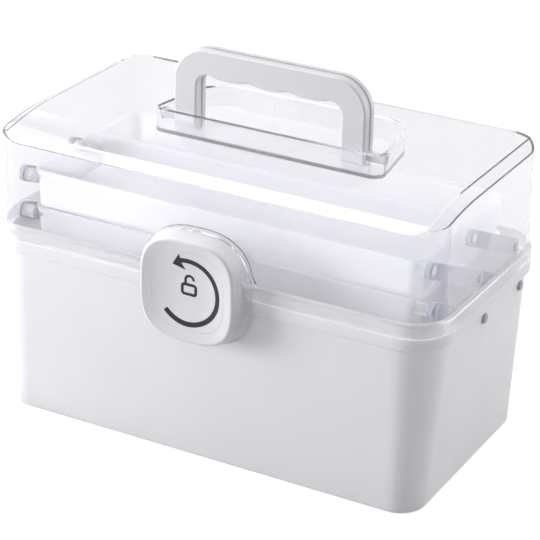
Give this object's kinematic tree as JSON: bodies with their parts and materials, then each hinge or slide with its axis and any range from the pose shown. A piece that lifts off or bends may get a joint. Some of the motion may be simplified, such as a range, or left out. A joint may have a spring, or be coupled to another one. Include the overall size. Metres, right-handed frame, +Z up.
{
  "type": "medicine box",
  "caption": "Medicine box with a clear hinged lid, folding handle, turning latch knob and two inner trays on parallel arms.",
  "frame": {"origin": "centre of the flat underside, at the middle of the length and of the depth of the rim", "axes": "+Z up, +X to the right of someone who faces the knob, -Y is the front with the knob"},
  "size_m": [0.3302, 0.1977, 0.2493],
  "materials": {
    "base": "satin",
    "lid": "clear glossy",
    "handle": "satin",
    "knob": "satin",
    "tray": "frosted translucent",
    "arms": "frosted translucent",
    "rivets": "matte",
    "pins": "satin",
    "steel": "plated",
    "print": "printed, matte"
  },
  "bodies": {
    "base": {"base_shell": "base", "case_rivets": "rivets", "hinge_pin_left": "steel", "hinge_pin_right": "steel", "knob_washer": "steel", "knob_screw": "steel"},
    "lid": {"lid_shell": "lid", "handle_pins": "pins"},
    "handle": {"handle_front": "handle", "handle_core": "handle", "handle_rear": "handle"},
    "knob": {"knob_shell": "knob", "knob_face": "knob", "latch_cam": "knob"},
    "mid_tray": {"mid_tray": "tray", "mid_divider": "tray", "mid_rivets": "rivets"},
    "top_tray": {"top_tray": "tray", "top_divider": "tray", "top_rivets": "rivets"},
    "lower_arm_front_left": {"lower_arm_front_left": "arms"},
    "lower_arm_front_right": {"lower_arm_front_right": "arms"},
    "lower_arm_rear_left": {"lower_arm_rear_left": "arms"},
    "lower_arm_rear_right": {"lower_arm_rear_right": "arms"},
    "upper_arm_front_left": {"upper_arm_front_left": "arms"},
    "upper_arm_front_right": {"upper_arm_front_right": "arms"},
    "upper_arm_rear_left": {"upper_arm_rear_left": "arms"},
    "upper_arm_rear_right": {"upper_arm_rear_right": "arms"}
  },
  "joints": [
    {"name": "lid_hinge", "type": "hinge", "parent": "base", "child": "lid", "pos_m": [0, 0.0915, 0.1262], "axis": [-1, 0, 0], "range_deg": [0, 105]},
    {"name": "handle_fold", "type": "hinge", "parent": "lid", "child": "handle", "pos_m": [0, 0.007, 0.1973], "axis": [-1, 0, 0], "range_deg": [0, 90]},
    {"name": "knob_turn", "type": "hinge", "parent": "base", "child": "knob", "pos_m": [0, -0.09, 0.128], "axis": [0, -1, 0], "range_deg": [0, 90]},
    {"name": "lower_arm_front_left_pivot", "type": "hinge", "parent": "base", "child": "lower_arm_front_left", "pos_m": [-0.1575, -0.0034, 0.1105], "axis": [-1, 0, 0], "range_deg": [0, 47.25]},
    {"name": "lower_arm_rear_left_pivot", "type": "hinge", "parent": "base", "child": "lower_arm_rear_left", "pos_m": [-0.1575, 0.0545, 0.1105], "axis": [-1, 0, 0], "range_deg": [0, 47.25]},
    {"name": "lower_arm_front_right_pivot", "type": "hinge", "parent": "base", "child": "lower_arm_front_right", "pos_m": [0.1575, -0.0034, 0.1105], "axis": [-1, 0, 0], "range_deg": [0, 47.25]},
    {"name": "lower_arm_rear_right_pivot", "type": "hinge", "parent": "base", "child": "lower_arm_rear_right", "pos_m": [0.1575, 0.0545, 0.1105], "axis": [-1, 0, 0], "range_deg": [0, 47.25]},
    {"name": "mid_tray_level", "type": "hinge", "parent": "lower_arm_rear_right", "child": "mid_tray", "pos_m": [0.1512, -0.0034, 0.137], "axis": [-1, 0, 0], "range_deg": [-47.25, 0]},
    {"name": "upper_arm_front_left_pivot", "type": "hinge", "parent": "mid_tray", "child": "upper_arm_front_left", "pos_m": [-0.1545, -0.0034, 0.137], "axis": [-1, 0, 0], "range_deg": [0, 47.25]},
    {"name": "upper_arm_rear_left_pivot", "type": "hinge", "parent": "mid_tray", "child": "upper_arm_rear_left", "pos_m": [-0.1545, 0.0545, 0.137], "axis": [-1, 0, 0], "range_deg": [0, 47.25]},
    {"name": "upper_arm_front_right_pivot", "type": "hinge", "parent": "mid_tray", "child": "upper_arm_front_right", "pos_m": [0.1545, -0.0034, 0.137], "axis": [-1, 0, 0], "range_deg": [0, 47.25]},
    {"name": "upper_arm_rear_right_pivot", "type": "hinge", "parent": "mid_tray", "child": "upper_arm_rear_right", "pos_m": [0.1545, 0.0545, 0.137], "axis": [-1, 0, 0], "range_deg": [0, 47.25]},
    {"name": "top_tray_level", "type": "hinge", "parent": "upper_arm_rear_right", "child": "top_tray", "pos_m": [0.1482, -0.0034, 0.1635], "axis": [-1, 0, 0], "range_deg": [-47.25, 0]}
  ],
  "couplings": [
    {"joint": "lower_arm_front_left_pivot", "follows": "lid_hinge", "ratio": 0.45},
    {"joint": "lower_arm_rear_left_pivot", "follows": "lid_hinge", "ratio": 0.45},
    {"joint": "lower_arm_front_right_pivot", "follows": "lid_hinge", "ratio": 0.45},
    {"joint": "lower_arm_rear_right_pivot", "follows": "lid_hinge", "ratio": 0.45},
    {"joint": "mid_tray_level", "follows": "lid_hinge", "ratio": -0.45},
    {"joint": "upper_arm_front_left_pivot", "follows": "lid_hinge", "ratio": 0.45},
    {"joint": "upper_arm_rear_left_pivot", "follows": "lid_hinge", "ratio": 0.45},
    {"joint": "upper_arm_front_right_pivot", "follows": "lid_hinge", "ratio": 0.45},
    {"joint": "upper_arm_rear_right_pivot", "follows": "lid_hinge", "ratio": 0.45},
    {"joint": "top_tray_level", "follows": "lid_hinge", "ratio": -0.45}
  ]
}
